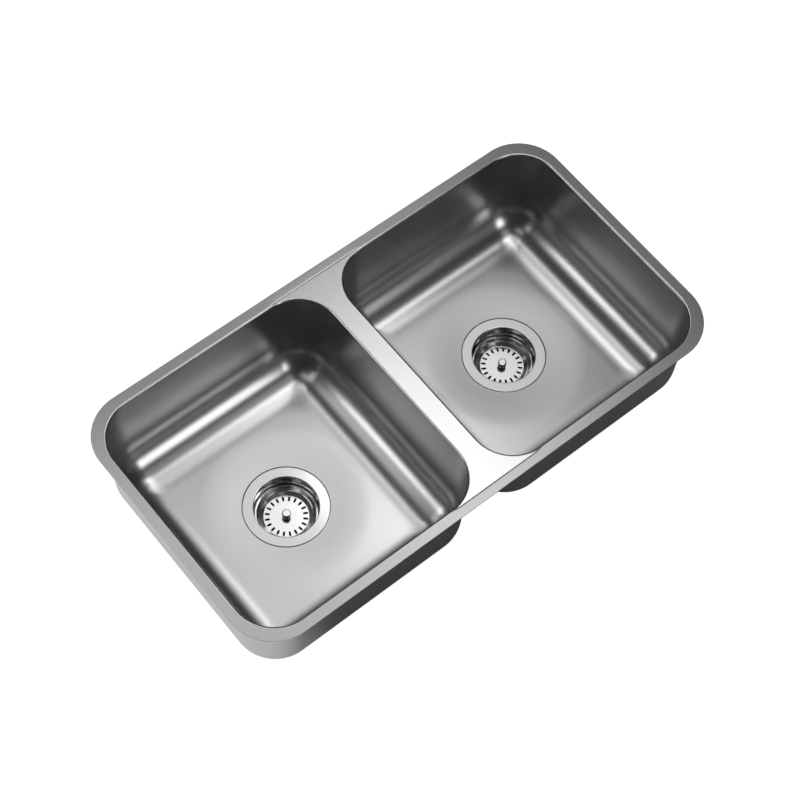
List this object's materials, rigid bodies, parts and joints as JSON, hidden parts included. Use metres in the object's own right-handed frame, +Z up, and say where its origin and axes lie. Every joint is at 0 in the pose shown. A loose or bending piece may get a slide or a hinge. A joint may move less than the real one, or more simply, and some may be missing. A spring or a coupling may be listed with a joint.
{
  "type": "double bowl kitchen sink",
  "caption": "Undermount kitchen sink in stainless steel with side-by-side bowls, each drained through a basket strainer whose slotted basket and stopper lift out",
  "frame": {"origin": "centre of the rim's top plane, midway between the bowls", "axes": "+X along the sink to the right bowl, +Y to the back, +Z up; the rim's top face is at Z = 0 and everything else lies below"},
  "size_m": [0.73, 0.386, 0.222],
  "materials": {
    "satin_steel": "satin drawn stainless steel",
    "polished_steel": "polished stainless steel",
    "black_rubber": "matt moulded rubber",
    "card_fibre": "pressed fibre card",
    "grey_nylon": "moulded nylon",
    "sound_rubber": "matt sheet rubber"
  },
  "bodies": {
    "sink": {"rim_flange": "satin_steel", "divider_plate": "satin_steel", "left_bowl": "satin_steel", "left_front_sound_pad": "sound_rubber", "left_rear_sound_pad": "sound_rubber", "left_strainer_body": "polished_steel", "left_top_seal": "black_rubber", "left_gasket": "black_rubber", "left_friction_ring": "card_fibre", "left_locknut": "grey_nylon", "right_bowl": "satin_steel", "right_front_sound_pad": "sound_rubber", "right_rear_sound_pad": "sound_rubber", "right_strainer_body": "polished_steel", "right_top_seal": "black_rubber", "right_gasket": "black_rubber", "right_friction_ring": "card_fibre", "right_locknut": "grey_nylon"},
    "left_plug": {"left_knob": "polished_steel", "left_spindle": "polished_steel", "left_stopper": "black_rubber", "left_stopper_washer": "polished_steel", "left_spindle_nut": "polished_steel"},
    "left_basket": {"left_basket": "polished_steel"},
    "right_plug": {"right_knob": "polished_steel", "right_spindle": "polished_steel", "right_stopper": "black_rubber", "right_stopper_washer": "polished_steel", "right_spindle_nut": "polished_steel"},
    "right_basket": {"right_basket": "polished_steel"}
  },
  "joints": [
    {"name": "left_plug_lift", "type": "slide", "parent": "sink", "child": "left_plug", "axis": [0, 0, 1], "range_m": [0, 0.25]},
    {"name": "left_basket_turn", "type": "hinge", "parent": "left_plug", "child": "left_basket", "pos_m": [-0.18235, 0.0035, -0.1808], "axis": [0, 0, 1], "continuous": true},
    {"name": "right_plug_lift", "type": "slide", "parent": "sink", "child": "right_plug", "axis": [0, 0, 1], "range_m": [0, 0.25]},
    {"name": "right_basket_turn", "type": "hinge", "parent": "right_plug", "child": "right_basket", "pos_m": [0.18235, 0.0035, -0.1808], "axis": [0, 0, 1], "continuous": true}
  ]
}
